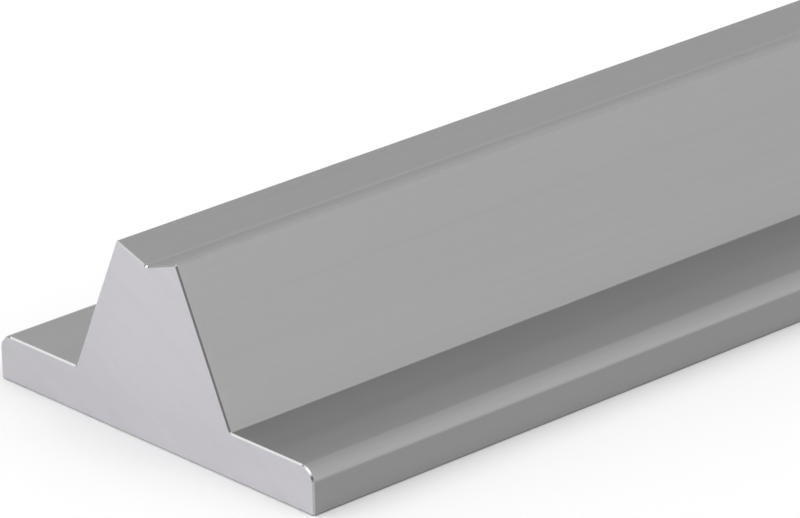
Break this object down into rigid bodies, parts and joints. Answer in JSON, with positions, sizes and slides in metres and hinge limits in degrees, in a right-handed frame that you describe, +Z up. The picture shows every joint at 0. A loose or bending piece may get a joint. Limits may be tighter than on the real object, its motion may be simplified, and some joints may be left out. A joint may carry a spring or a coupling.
{
  "type": "shaft support rail",
  "caption": "Extruded aluminium rail with a flat base, a web that tapers upwards and a shallow V seat along its top that carries a round guide shaft.",
  "frame": {"origin": "middle of the underside of the base, half way along the rail", "axes": "+Y along the rail, away from the end that the picture shows; +Z up, from the base to the shaft seat; +X across the base"},
  "size_m": [0.057, 0.6, 0.0246],
  "materials": {
    "aluminium": "mill finish, as extruded along its length and sawn on its two ends"
  },
  "bodies": {
    "root": {"support_rail": "aluminium"}
  },
  "joints": []
}
